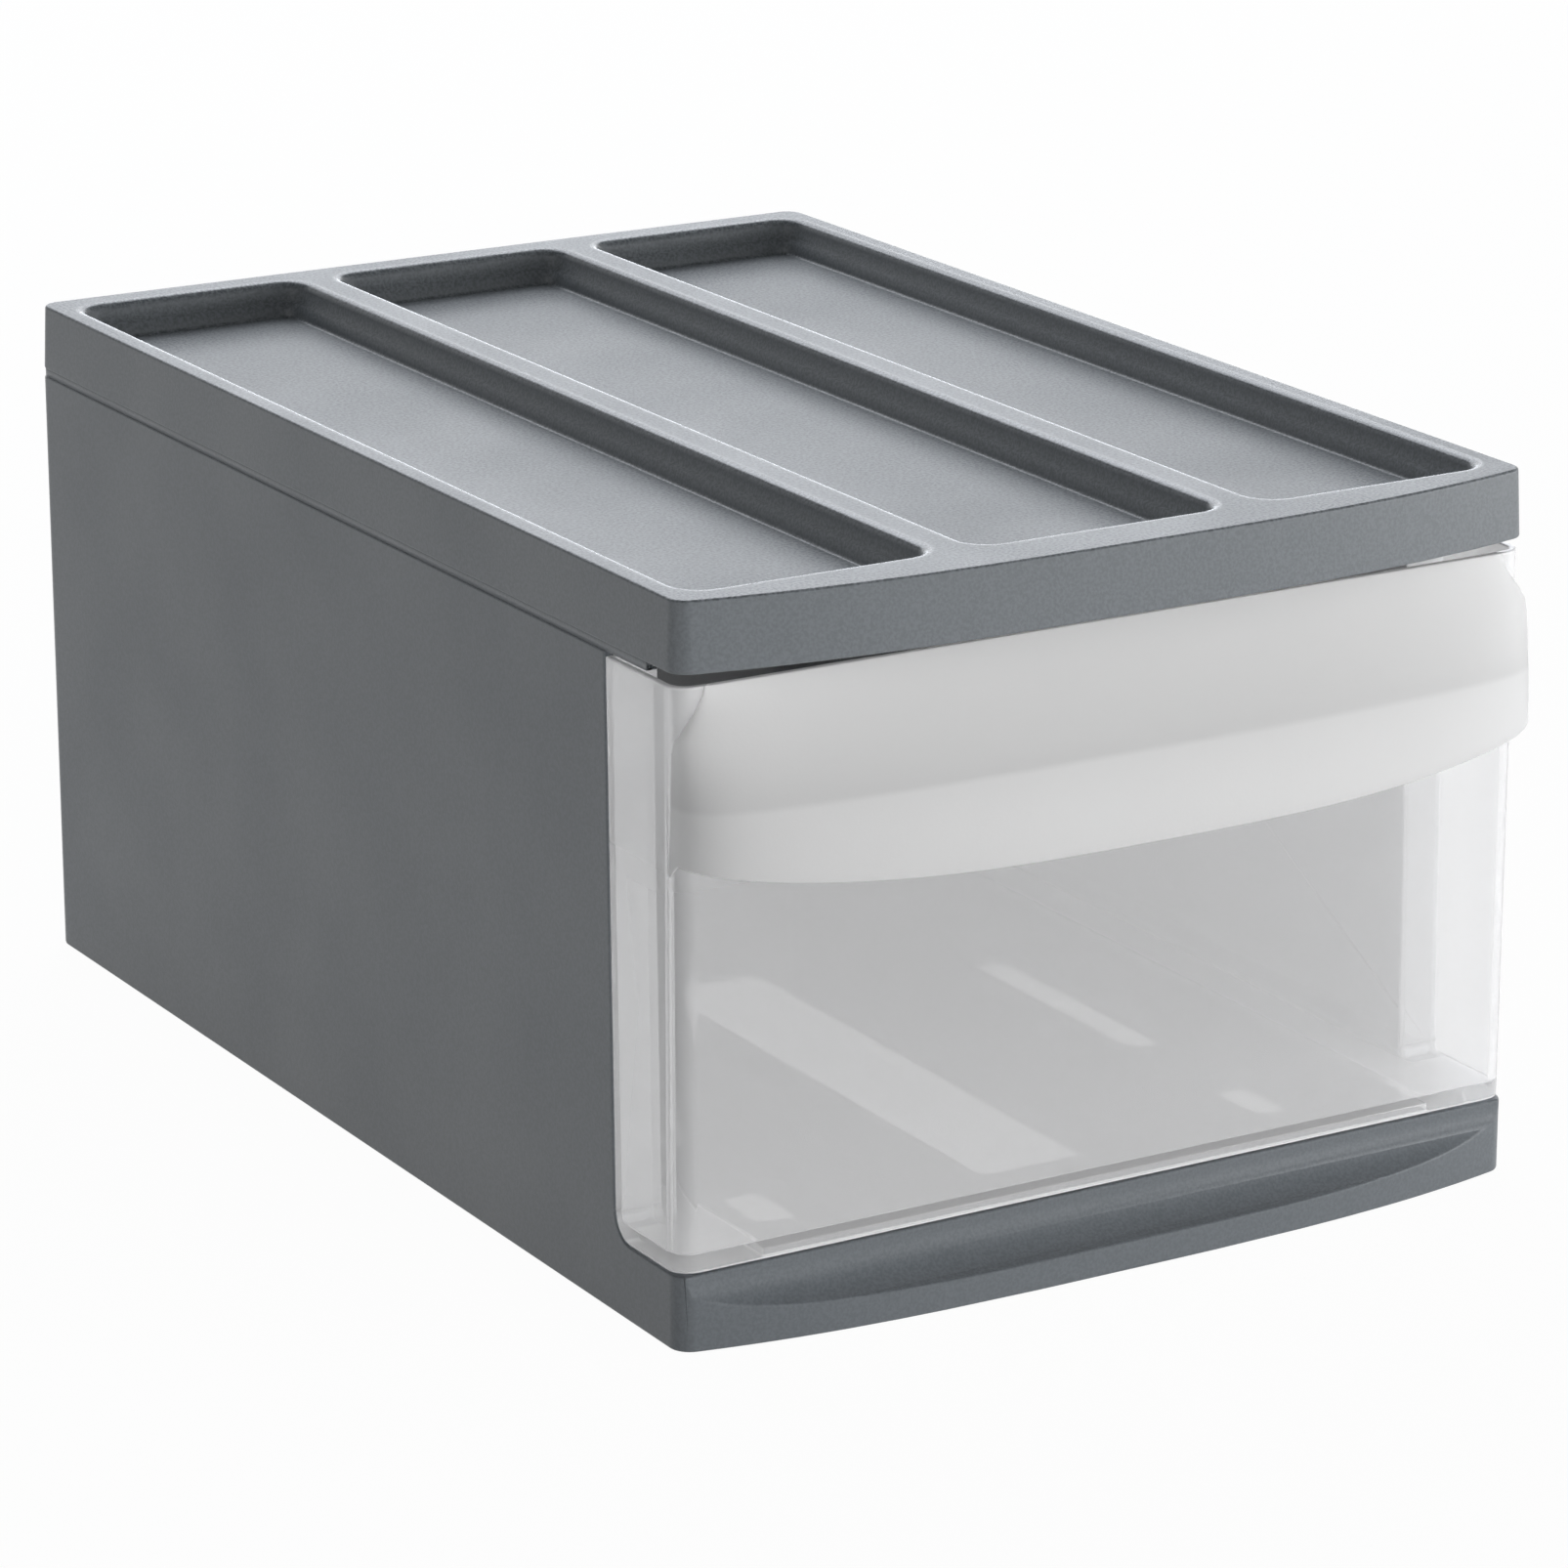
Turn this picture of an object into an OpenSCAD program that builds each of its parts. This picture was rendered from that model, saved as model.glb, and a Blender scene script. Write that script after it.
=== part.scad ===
// Stackable drawer box: a grey housing with a push-fit cover, and one clear drawer with a
// frosted hood handle. Millimetres, Z up, front towards -Y.
// The origin is at the bottom, in the middle of the closed box with its handle.

/* [Housing] */
// Width over the side walls
box_w = 260; // [230:1:300]
// Depth of the side walls, from the back rims to the front corners
box_d = 380; // [330:1:420]
// Height over the cover
box_h = 198; // [185:1:240]
// How far the middle of the front edge stands out past its corners
front_bow = 10.4; // [6:0.2:13]
// Radius of the upright corners
corner_r = 6; // [4:0.5:9]
// Thickness of the housing and cover walls
wall = 2.4; // [2:0.1:2.8]
// Height of the front lip, on which the closed drawer front stands
lip_h = 20.5; // [18:0.5:26]
// Depth of that lip from front to back
lip_d = 16; // [14:0.5:24]
// Height of the floor panel's upper face
floor_z = 15; // [11:0.5:16]
// Height of the stiffening ribs under that panel
rib_h = 4; // [2:0.5:8]
// Width of each raised side track that carries the drawer
track_w = 25.5; // [20:0.5:32]
// Height of the kerb that guides the drawer along each track
kerb_h = 6; // [3:0.5:10]
// Radius of the finger scoop along the front lip
scoop_r = 11.5; // [9:0.5:12]
// Depth of the cut-out in each side wall, filled by the drawer front
notch_d = 33; // [24:1:44]
// Lean of the upright edge of that cut-out, in degrees
notch_lean = 1.1; // [0:0.1:2]
// Radius of the lower corner of that cut-out
notch_r = 8; // [4:0.5:12]
// How far the back wall lies inside its upper and lower rims
back_recess = 1.5; // [0.5:0.1:2]

/* [Cover] */
// Height of the cover's skirt
skirt_h = 18.8; // [16:0.2:24]
// Height of the shadow gap between skirt and housing
seam_h = 2.2; // [1.6:0.1:3]
// Depth of the three bays in the deck
bay_depth = 10; // [6:0.5:11]
// Width of the deck's rim round the bays
bay_rim = 8; // [6:0.5:12]
// Width of each bar between two bays
bay_bar = 12; // [8:0.5:20]
// Width of the middle bay
mid_bay_w = 76; // [50:1:90]
// How far the bays' walls lean inwards over their depth
bay_lean = 4; // [2:0.5:6]
// Radius of the bays' corners
bay_r = 8; // [5:0.5:10]
// Depth of the collar that plugs into the housing
plug_h = 6; // [4:0.5:7]
// Number of snap bumps along each side
snap_count = 3; // [2:1:4]

/* [Drawer] */
// Thickness of the drawer's walls
tray_wall = 2; // [1.6:0.1:2.4]
// Height of the drawer's skids
skid_h = 2.5; // [1.5:0.1:4]
// Free space between the closed drawer front and the housing
front_gap = 0.5; // [0.4:0.1:0.8]
// Height of the drawer's front below the top of the housing's walls
front_drop = 1.2; // [0.5:0.1:3]
// How much narrower the drawer is behind its front, on each side
jog = 12; // [9:0.5:14]
// Free space between the drawer and the guide kerbs beside its tracks
guide_gap = 0.6; // [0.4:0.1:1]
// Height of the drawer's side walls below the top of its front
side_drop = 3; // [2:0.5:12]
// Free space behind the drawer
back_gap = 3; // [2:0.5:8]
// Radius of the drawer's rear corners
tray_r = 10; // [6:1:16]

/* [Handle] */
// Height of the hood in the middle
hood_h = 54; // [46:1:60]
// How much shorter the hood is at its ends
hood_rise = 8.5; // [5:0.5:12]
// How far the hood stands out at its ends
hood_end_reach = 10.5; // [7:0.5:12]
// How much further it stands out in the middle
hood_bow = 11.5; // [9:0.5:16]
// How much narrower the hood is along its top, on each side
hood_step = 8; // [5:0.5:12]
// Height of the hood's wall above the shelf over the finger pocket
hood_shelf = 28.5; // [24:0.5:32]

/* [Hidden] */

// Colours
housing_grey = "#5f6468";
clear_plastic = [0.86, 0.88, 0.89, 0.45];
frosted_plastic = [0.80, 0.81, 0.82, 0.80];

// Small amount by which a cut runs past the face it opens
past = 1;
// Facets of a full circle, fine for the scoop
round_fn = 48;
scoop_fn = 96;
// Steps of the front curve, of a corner and of the hood
curve_steps = 36;
corner_steps = 8;
hood_column_count = 40;
hood_row_count = 12;
// Fullness of the hood's rounded ends: higher is squarer
hood_end_power = 24;
// Share of the hood's height over which its sides step out
hood_step_share = 0.33;
// How closely the hood's columns of points crowd towards its ends
hood_crowding = 2.2;
// Roundness of the front curve: higher is flatter in the middle and rounder at the ends
bow_power = 3;

// The box is centred on its own depth and shifted so that the handle counts in it
half_w = box_w / 2;
half_d = box_d / 2;
hood_reach = hood_end_reach + hood_bow;
place_y = hood_reach / 2;

// Heights of the housing and cover
skirt_z = box_h - skirt_h;
body_top = skirt_z - seam_h;
back_rim_h = 11;
back_face = half_d - back_recess;
inner_w = half_w - wall;
inner_back = back_face - wall;
notch_y = notch_d - half_d;
track_x = half_w - track_w;
lip_back = lip_d - half_d;
notch_top_y = notch_y + (body_top - lip_h) * tan(notch_lean);

// Snap bumps, and the collar that carries them
plug_gap = 0.2;
plug_outer = inner_w - plug_gap;
plug_t = 2;
plug_inner = plug_outer - plug_t;
plug_back = inner_back - plug_gap;
bump_l = 16;
bump_h = 2;
bump_out = 0.8;
bump_clear = 0.3;
snap_spacing = (inner_back - notch_top_y) / (snap_count + 1);
neck_inset = 0.8;
neck_in = 15;
bay_back_extra = 3;
neck_front = neck_in - half_d;

// Openings in the floor panel: one long one, and a row on each side of it. Their places and
// lengths are given for a floor panel of the depth slot_run, and follow the box's depth
slot_run = 343;
slot_w = 37;
slot_d = 176;
slot_front = notch_y;
side_slot_w = 16;
side_slot_in = 25.5;
side_slot_x = track_x - side_slot_in;
side_slots = [[0, 24], [63, 86], [232, 86]];
slot_cut = 3;

// Stiffening ribs under the floor panel
rib_t = 1.8;
rib_off = 2;
cross_ribs = [48, 158, 230];

// Drawer
tray_z = lip_h + front_gap;
tray_floor = tray_z + skid_h;
tray_top = body_top - front_drop;
side_top = tray_top - side_drop;
tray_half = half_w - jog;
tray_back = inner_back - back_gap;
shelf_z = tray_top - hood_shelf;
shelf_t = tray_wall;
mouth_half = half_w - hood_step - tray_wall;

// ---------------------------------------------------------------------------- outlines

// Points of an arc about [cx, cy]
function arc(cx, cy, r, from, to, steps = corner_steps) =
    [for (i = [0:steps]) let (a = from + (to - from) * i / steps) [cx + r * cos(a), cy + r * sin(a)]];

// How far the front curve lies behind its foremost point, as a share of its bow
function fall(share) = pow(abs(share), bow_power);

// Direction of the front curve where it meets the corner, in degrees
function end_slope(hw, bow, r) = atan(bow_power * bow / hw * pow((hw - r) / hw, bow_power - 1));

// Outline with a straight back, straight sides and a front that bows out
function outline(hw, back, front, bow, r) =
    let (
        slope = end_slope(hw, bow, r),
        end_x = hw - r + r * sin(slope),
        end_y = front - bow * (1 - fall(end_x / hw)),
        arc_y = end_y + r * cos(slope)
    )
    concat(
        arc(hw - r, back - r, r, 0, 90),
        arc(r - hw, back - r, r, 90, 180),
        arc(r - hw, arc_y, r, 180, 270 - slope),
        [for (i = [1:curve_steps - 1])
            let (x = end_x * (2 * i / curve_steps - 1)) [x, front - bow * (1 - fall(x / hw))]],
        arc(hw - r, arc_y, r, 270 + slope, 360)
    );

// Upright prism of such an outline, inset on all sides
module prism(z, h, inset = 0, bow = front_bow, back = half_d, r = corner_r)
    translate([0, 0, z])
        linear_extrude(h)
            polygon(outline(half_w - inset, back - inset, inset - half_d, bow, max(r - inset, 1)));

// Box given by its two corners
module block(low, high) translate(low) cube(high - low);

module both_sides() {
    children();
    mirror([1, 0, 0]) children();
}

module placed() translate([0, place_y, 0]) children();

// Everything in front of the side walls' leaning edge, above the lip
module notch_space(z = lip_h)
    translate([0, notch_y, lip_h])
        rotate([-notch_lean, 0, 0])
            translate([-box_w, -box_d, z - lip_h])
                cube([2 * box_w, box_d, 2 * box_h]);

// ---------------------------------------------------------------------------- housing

// Rounded web in the lower corner of a side wall's cut-out
module notch_web()
    difference() {
        block([inner_w, notch_y - notch_r, lip_h - past], [half_w, notch_y + wall, lip_h + notch_r]);
        translate([0, notch_y - notch_r, lip_h + notch_r])
            rotate([0, 90, 0])
                cylinder(r = notch_r, h = box_w, $fn = round_fn);
    }

// Walls above the lip: both sides and the back with its two rims
module upper_walls()
    difference() {
        prism(lip_h - past, body_top - lip_h + past, bow = 0);
        block([-inner_w, -box_d, 0], [inner_w, inner_back, box_h]);
        block([-half_w - past, -box_d, 0], [half_w + past, notch_y - past, box_h]);
        notch_space();
        block([-box_w, back_face, back_rim_h], [box_w, box_d, body_top - back_rim_h]);
    }

// Base with the bowed lip, the side tracks and the sunken floor between them
module base()
    difference() {
        prism(0, lip_h);
        block([-track_x, lip_back, floor_z], [track_x, inner_back, lip_h + past]);
        block([-box_w, back_face, back_rim_h], [box_w, box_d, box_h]);
        // Finger scoop under the drawer front
        translate([-box_w, -half_d - scoop_r, lip_h - past])
            rotate([0, 90, 0])
                cylinder(r = scoop_r, h = 2 * box_w, $fn = scoop_fn);
        block([-box_w, -box_d, lip_h - past], [box_w, -half_d, box_h]);
        // Hollow underside
        prism(-past, lip_h - past - scoop_r - wall + past, inset = wall, back = back_face);
        block([-inner_w, wall - half_d, -past], [inner_w, lip_back - wall, lip_h - wall]);
        block([-inner_w, lip_back - wall - past, -past], [inner_w, inner_back, floor_z - wall]);
        both_sides()
            block([track_x + wall, lip_back - wall - past, 0], [inner_w, inner_back, lip_h - wall]);
    }

// Kerbs that keep the drawer straight on its tracks
module guide_kerbs()
    both_sides()
        difference() {
            block([tray_half + guide_gap, notch_y - past, lip_h - past],
                  [inner_w + past, inner_back + past, lip_h + kerb_h]);
            notch_space();
        }

// Hollow inside each kerb, open from below
module kerb_hollows()
    both_sides()
        block([tray_half + guide_gap + wall, notch_top_y + wall, -past],
              [inner_w, inner_back, lip_h + kerb_h - wall]);

// One opening in the floor panel, with cut corners
module floor_slot(x, y, w, d)
    translate([x - w / 2, y, floor_z - wall - past])
        linear_extrude(wall + 2 * past)
            polygon([[slot_cut, 0], [w - slot_cut, 0], [w, slot_cut], [w, d - slot_cut],
                     [w - slot_cut, d], [slot_cut, d], [0, d - slot_cut], [0, slot_cut]]);

// Place or length along the floor panel of a box of any depth
function along(d) = d * (inner_back - notch_y) / slot_run;

// Stiffening ribs under the floor panel, beside the openings and across between them
module floor_ribs() {
    under = floor_z - wall;
    rib_z = under - rib_h;
    both_sides()
        for (x = [slot_w / 2 + rib_off, side_slot_x - side_slot_w / 2 - rib_off - rib_t,
                  side_slot_x + side_slot_w / 2 + rib_off])
            block([x, lip_back - wall, rib_z], [x + rib_t, inner_back + past, under + past]);
    for (place = cross_ribs)
        translate([0, notch_y + along(place), 0])
            both_sides()
                block([slot_w / 2 + rib_off, 0, rib_z], [track_x + wall, rib_t, under + past]);
}

// Pockets inside the side walls that take the cover's snap bumps
module snap_places(extra, out)
    for (i = [1:snap_count])
        both_sides()
            translate([0, notch_top_y + i * snap_spacing, body_top - plug_h / 2])
                block([inner_w - plug_gap - past, -bump_l / 2 - extra, -bump_h / 2 - extra],
                      [inner_w + out, bump_l / 2 + extra, bump_h / 2 + extra]);

module body_shell()
    color(housing_grey)
        placed() {
            difference() {
                union() {
                    base();
                    upper_walls();
                    both_sides() notch_web();
                    guide_kerbs();
                    floor_ribs();
                }
                kerb_hollows();
                floor_slot(0, slot_front, slot_w, along(slot_d));
                for (slot = side_slots)
                    both_sides()
                        floor_slot(side_slot_x, slot_front + along(slot[0]), side_slot_w, along(slot[1]));
                snap_places(bump_clear, bump_out + bump_clear - plug_gap);
            }
        }

// ---------------------------------------------------------------------------- cover

// Space of one bay: wide at the deck, narrower at its floor, grown by a wall for its underside
module bay(left, right, grow, top, bottom) {
    front = bay_rim - half_d;
    back = half_d - bay_rim - bay_back_extra;
    deep = top - bottom;
    // Rounded corners
    for (x = [left + bay_r, right - bay_r])
        for (y = [front + bay_r, back - bay_r])
            translate([x, y, bottom])
                cylinder(r1 = bay_r - bay_lean + grow, r2 = bay_r + grow, h = deep, $fn = round_fn);
    // Leaning long sides, then leaning ends
    translate([0, back - bay_r, bottom])
        rotate([90, 0, 0])
            linear_extrude(back - front - 2 * bay_r)
                polygon([[left + bay_lean - grow, 0], [right - bay_lean + grow, 0],
                         [right + grow, deep], [left - grow, deep]]);
    translate([left + bay_r, 0, bottom])
        rotate([90, 0, 90])
            linear_extrude(right - left - 2 * bay_r)
                polygon([[front + bay_lean - grow, 0], [back - bay_lean + grow, 0],
                         [back + grow, deep], [front - grow, deep]]);
}

// All three bays
module bays(grow, top, bottom) {
    both_sides()
        bay(mid_bay_w / 2 + bay_bar, half_w - bay_rim, grow, top, bottom);
    bay(-mid_bay_w / 2, mid_bay_w / 2, grow, top, bottom);
}

// Ring that hangs below the skirt: a recessed neck on the wall tops, and a collar inside them
module cover_collar() {
    difference() {
        prism(body_top, skirt_z - body_top + past, inset = neck_inset, bow = 0);
        block([-inner_w + past, -box_d, 0], [inner_w - past, plug_back - plug_t, box_h]);
        block([-box_w, -box_d, 0], [box_w, neck_front, box_h]);
        block([-box_w, -box_d, 0], [box_w, notch_top_y + past, tray_top + front_gap]);
    }
    difference() {
        prism(body_top - plug_h, plug_h + past, inset = half_w - plug_outer, bow = 0,
              back = plug_back + half_w - plug_outer);
        block([-plug_inner, -box_d, 0], [plug_inner, plug_back - plug_t, box_h]);
        block([-box_w, -box_d, 0], [box_w, notch_top_y + plug_t, box_h]);
    }
    snap_places(0, bump_out - plug_gap);
}

module top_cover()
    color(housing_grey)
        placed() {
            difference() {
                union() {
                    difference() {
                        prism(skirt_z, skirt_h);
                        prism(skirt_z - past, skirt_h - wall + past, inset = wall);
                    }
                    intersection() {
                        bays(wall, box_h + past, box_h - bay_depth - wall);
                        prism(skirt_z, skirt_h);
                    }
                }
                bays(0, box_h + past, box_h - bay_depth);
            }
            cover_collar();
        }

// ---------------------------------------------------------------------------- drawer

// Solid form of the drawer, inset on all sides: a full-width front and a narrower body behind it
module tray_form(inset, z, side_z, front_z) {
    difference() {
        prism(z, front_z - z, inset = inset, bow = 0);
        translate([0, -front_gap - inset, 0])
            difference() {
                block([-box_w, -box_d, 0], [box_w, box_d, 2 * box_h]);
                notch_space(0);
            }
        both_sides() tray_corner(inset);
    }
    translate([0, 0, z])
        linear_extrude(side_z - z)
            polygon(concat(
                arc(tray_half - tray_r, tray_back - tray_r, tray_r - inset, 0, 90),
                arc(tray_r - tray_half, tray_back - tray_r, tray_r - inset, 90, 180),
                [[inset - tray_half, notch_y - 2 * notch_r], [tray_half - inset, notch_y - 2 * notch_r]]));
}

// What the drawer front's lower rear corner loses to its rounding, beside the drawer's body
module tray_corner(inset)
    difference() {
        block([tray_half - inset, notch_y - notch_r, 0], [box_w, notch_y + wall, lip_h + notch_r]);
        translate([0, notch_y - notch_r, lip_h + notch_r])
            rotate([0, 90, 0])
                cylinder(r = notch_r - front_gap - inset, h = box_w, $fn = round_fn);
    }

module drawer_tray()
    color(clear_plastic)
        placed()
            difference() {
                tray_form(0, tray_z, side_top, tray_top);
                tray_form(tray_wall, tray_floor + tray_wall, box_h, box_h);
                // Raised underside between the skids
                block([-track_x, tray_wall - half_d, 0], [track_x, tray_back - tray_wall, tray_floor]);
                // Mouth in the front wall, behind the hood
                block([-mouth_half, -box_d, shelf_z], [mouth_half, past - half_d + tray_wall, box_h]);
            }

// ---------------------------------------------------------------------------- handle

// Smooth step from 0 to 1
function ease(t) = let (c = min(max(t, 0), 1)) c * c * (3 - 2 * c);

// Half width of the hood at the share v of its height, from the top down
function hood_half(v) = half_w - hood_step * (1 - ease(v / hood_step_share));

// How far the hood stands out at that height, as a share of its full reach
function hood_swell(v) = 1 - pow(1 - v, 2);

// Height of the hood's lower edge at the share t of its half width
function hood_edge(t) = tray_top - hood_h + hood_rise * fall(t);

// Point of the hood's face at the share s along it and v down it, moved inwards by inset
function hood_point(s, v, inset) =
    let (
        t = sign(s) * (1 - pow(1 - abs(s), hood_crowding)),
        half = hood_half(v) - inset,
        round_end = pow(max(1 - pow(abs(t), hood_end_power), 0), 0.5),
        out = hood_swell(v) * (hood_end_reach + hood_bow * (1 - fall(t))) * round_end
    )
    [t * half, inset - half_d - out, tray_top + v * (hood_edge(t) - tray_top)];

// Solid between the hood's face and an upright plane inside the drawer front
module hood_solid(inset, down = 0) {
    root_y = corner_r - half_d + (inset > 0 ? past : 0);
    nx = hood_column_count;
    nz = hood_row_count;
    face = [for (j = [0:nz]) for (i = [0:nx])
        hood_point(2 * i / nx - 1, j / nz, inset) + [0, 0, j == nz ? -down : (j == 0 ? down : 0)]];
    root = [for (p = face) [p[0], root_y, p[2]]];
    count = (nx + 1) * (nz + 1);
    at = function (i, j) j * (nx + 1) + i;
    quad = function (a, b, c, d) [[a, b, c], [a, c, d]];
    faces = concat(
        [for (j = [0:nz - 1]) for (i = [0:nx - 1]) each
            quad(at(i, j), at(i + 1, j), at(i + 1, j + 1), at(i, j + 1))],
        [for (j = [0:nz - 1]) for (i = [0:nx - 1]) each
            quad(count + at(i, j), count + at(i, j + 1), count + at(i + 1, j + 1), count + at(i + 1, j))],
        [for (i = [0:nx - 1]) each
            quad(at(i, 0), count + at(i, 0), count + at(i + 1, 0), at(i + 1, 0))],
        [for (i = [0:nx - 1]) each
            quad(at(i, nz), at(i + 1, nz), count + at(i + 1, nz), count + at(i, nz))],
        [for (j = [0:nz - 1]) each
            quad(at(0, j), at(0, j + 1), count + at(0, j + 1), count + at(0, j))],
        [for (j = [0:nz - 1]) each
            quad(at(nx, j), count + at(nx, j), count + at(nx, j + 1), at(nx, j + 1))]);
    polyhedron(points = concat(face, root), faces = faces, convexity = 6);
}

module handle_hood()
    color(frosted_plastic)
        placed()
            difference() {
                hood_solid(0);
                difference() {
                    hood_solid(tray_wall, past);
                    block([-box_w, -box_d, shelf_z - shelf_t], [box_w, -half_d, shelf_z]);
                }
                // Room for the drawer's front wall below the mouth and for its columns beside it
                prism(0, shelf_z, bow = 0);
                difference() {
                    prism(shelf_z - past, box_h, bow = 0);
                    block([-mouth_half, -box_d, shelf_z], [mouth_half, tray_wall - half_d, 2 * box_h]);
                }
            }

// ---------------------------------------------------------------------------- assembly

body_shell();
top_cover();
drawer_tray();
handle_hood();
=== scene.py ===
"""Stackable drawer box: the finish of its four mouldings, with a plain studio and a camera.

Everything is in metres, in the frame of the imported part: Z up, front towards -Y, origin at the
bottom in the middle of the closed box. Each moulding is a class that holds its sizes, builds its
mesh and dresses it. Each finish is a frozen dataclass that builds its own material.
"""

import logging
import math
from collections.abc import Sequence
from dataclasses import dataclass
from enum import Enum

import bmesh
import bpy
from bmesh.types import BMesh
from bpy.types import Material, Node, NodeSocket, NodeTree, Object
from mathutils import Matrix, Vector


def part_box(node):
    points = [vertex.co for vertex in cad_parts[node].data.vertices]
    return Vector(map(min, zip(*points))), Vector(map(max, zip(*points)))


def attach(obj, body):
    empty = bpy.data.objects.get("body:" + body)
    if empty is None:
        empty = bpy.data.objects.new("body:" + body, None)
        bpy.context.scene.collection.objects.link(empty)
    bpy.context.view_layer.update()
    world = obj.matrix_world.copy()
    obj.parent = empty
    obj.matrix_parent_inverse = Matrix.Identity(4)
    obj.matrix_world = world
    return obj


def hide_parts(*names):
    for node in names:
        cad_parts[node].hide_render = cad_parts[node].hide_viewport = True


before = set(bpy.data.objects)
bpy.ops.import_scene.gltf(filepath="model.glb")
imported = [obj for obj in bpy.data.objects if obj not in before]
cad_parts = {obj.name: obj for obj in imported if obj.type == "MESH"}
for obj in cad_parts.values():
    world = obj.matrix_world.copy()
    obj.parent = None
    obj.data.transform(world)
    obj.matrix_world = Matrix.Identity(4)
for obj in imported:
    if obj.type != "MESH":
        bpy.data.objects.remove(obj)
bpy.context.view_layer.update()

LOG = logging.getLogger("drawer_box")
MM = 0.001
QUARTER = math.pi / 2
WHITE = (1.0, 1.0, 1.0, 1.0)
# Vertex attribute that is 1 along rubbed edges
EDGE_LAYER = "rubbed"
# Refractive index of both plastics
PLASTIC_IOR = 1.49
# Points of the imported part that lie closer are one, and faces that differ by less are flat
WELD = 0.02 * MM
FLAT = math.radians(1)
# How much more a large face counts in the shading than a small one
FACE_WEIGHT = 80

Point = tuple[float, float]
Colour = tuple[float, float, float, float]


class Body(Enum):
    """The bodies that pieces ride on."""

    HOUSING = "housing"
    DRAWER = "drawer"


# ---- helpers


def linear(code: str) -> Colour:
    """Turns an sRGB hex value to a linear colour.

    Args:
        code: Six hex digits after a hash, such as "#5f6468".

    Returns:
        Linear red, green and blue, and an alpha of 1.
    """
    shares = [int(code[i : i + 2], 16) / 255 for i in (1, 3, 5)]
    red, green, blue = (c / 12.92 if c <= 0.04045 else ((c + 0.055) / 1.055) ** 2.4 for c in shares)
    return red, green, blue, 1.0


def add(tree: NodeTree, kind: str, inputs: dict | Sequence = (), **settings: str) -> Node:
    """Adds a node with its settings, values and links.

    Args:
        tree: The tree that gets the node.
        kind: The node's type, such as "Bump", without the "ShaderNode" that most of them start with.
        inputs: What the inputs get, by name or index, or in order: a value, the socket or the node
            that feeds the input, or a list of such. A node feeds it with its first output in use.
        **settings: Properties of the node.

    Returns:
        The new node.
    """
    node = tree.nodes.new(kind if kind.startswith(("GeometryNode", "NodeGroup")) else "ShaderNode" + kind)
    for name, value in settings.items():
        setattr(node, name, value)
    for key, value in inputs.items() if isinstance(inputs, dict) else enumerate(inputs):
        for source in value if isinstance(value, list) else [value]:
            if isinstance(source, Node):
                source = next(output for output in source.outputs if output.enabled)
            if isinstance(source, NodeSocket):
                tree.links.new(source, node.inputs[key])
            else:
                node.inputs[key].default_value = source
    return node


def solved(tree: NodeTree, values: dict, steps: Sequence[str]) -> None:
    """Works out formulas on a mesh's points, one after another.

    Args:
        tree: The tree that gets the nodes.
        values: Named sockets and nodes. The results are added to it.
        steps: Formulas such as "half = MULTIPLY Width, 0.5", with the operation of a Math node.
    """
    for step in steps:
        name, formula = step.split(" = ")
        operation, terms = formula.split(" ", 1)
        inputs = [values[term] if term in values else float(term) for term in terms.split(", ")]
        values[name] = add(tree, "Math", inputs, operation=operation)


def form_tree(name: str, sizes: dict[str, float]) -> tuple[NodeTree, dict]:
    """Starts a Geometry Nodes tree whose sizes are its named inputs.

    Args:
        name: The tree's name.
        sizes: The inputs' names and values.

    Returns:
        The tree, and its inputs' sockets by name.
    """
    tree = bpy.data.node_groups.new(name, "GeometryNodeTree")
    for size, value in sizes.items():
        tree.interface.new_socket(size, in_out="INPUT", socket_type="NodeSocketFloat").default_value = value
    tree.interface.new_socket("Geometry", in_out="OUTPUT", socket_type="NodeSocketGeometry")
    sockets = add(tree, "NodeGroupInput").outputs
    return tree, {size: sockets[size] for size in sizes}


def grown(tree: NodeTree, shape: Node, material: Material) -> Object:
    """Ends a Geometry Nodes tree, and makes a plain mesh of what it grows.

    Args:
        tree: The tree, whose name the object gets.
        shape: The node that gives its geometry.
        material: Material of its faces.

    Returns:
        The object, with no modifiers.
    """
    real = add(tree, "GeometryNodeRealizeInstances", {"Geometry": shape})
    painted = add(tree, "GeometryNodeSetMaterial", {"Geometry": real, "Material": material})
    add(tree, "NodeGroupOutput", {"Geometry": painted})
    obj = finished(bmesh.new(), tree.name)
    modifier = obj.modifiers.new("form", "NODES")
    modifier.node_group = tree
    for item in tree.interface.items_tree:
        if item.in_out == "INPUT":
            modifier[item.identifier] = item.default_value
    applied(obj).data.shade_smooth()
    return obj


def new_material(name: str) -> tuple[Material, NodeTree, NodeSocket]:
    """Makes a material whose tree only reads the place on the object.

    Args:
        name: The material's name.

    Returns:
        The material, its tree, and the socket that gives the place.
    """
    material = bpy.data.materials.new(name)
    material.use_nodes = True
    tree = material.node_tree
    tree.nodes.clear()
    return material, tree, add(tree, "TexCoord").outputs["Object"]


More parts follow.
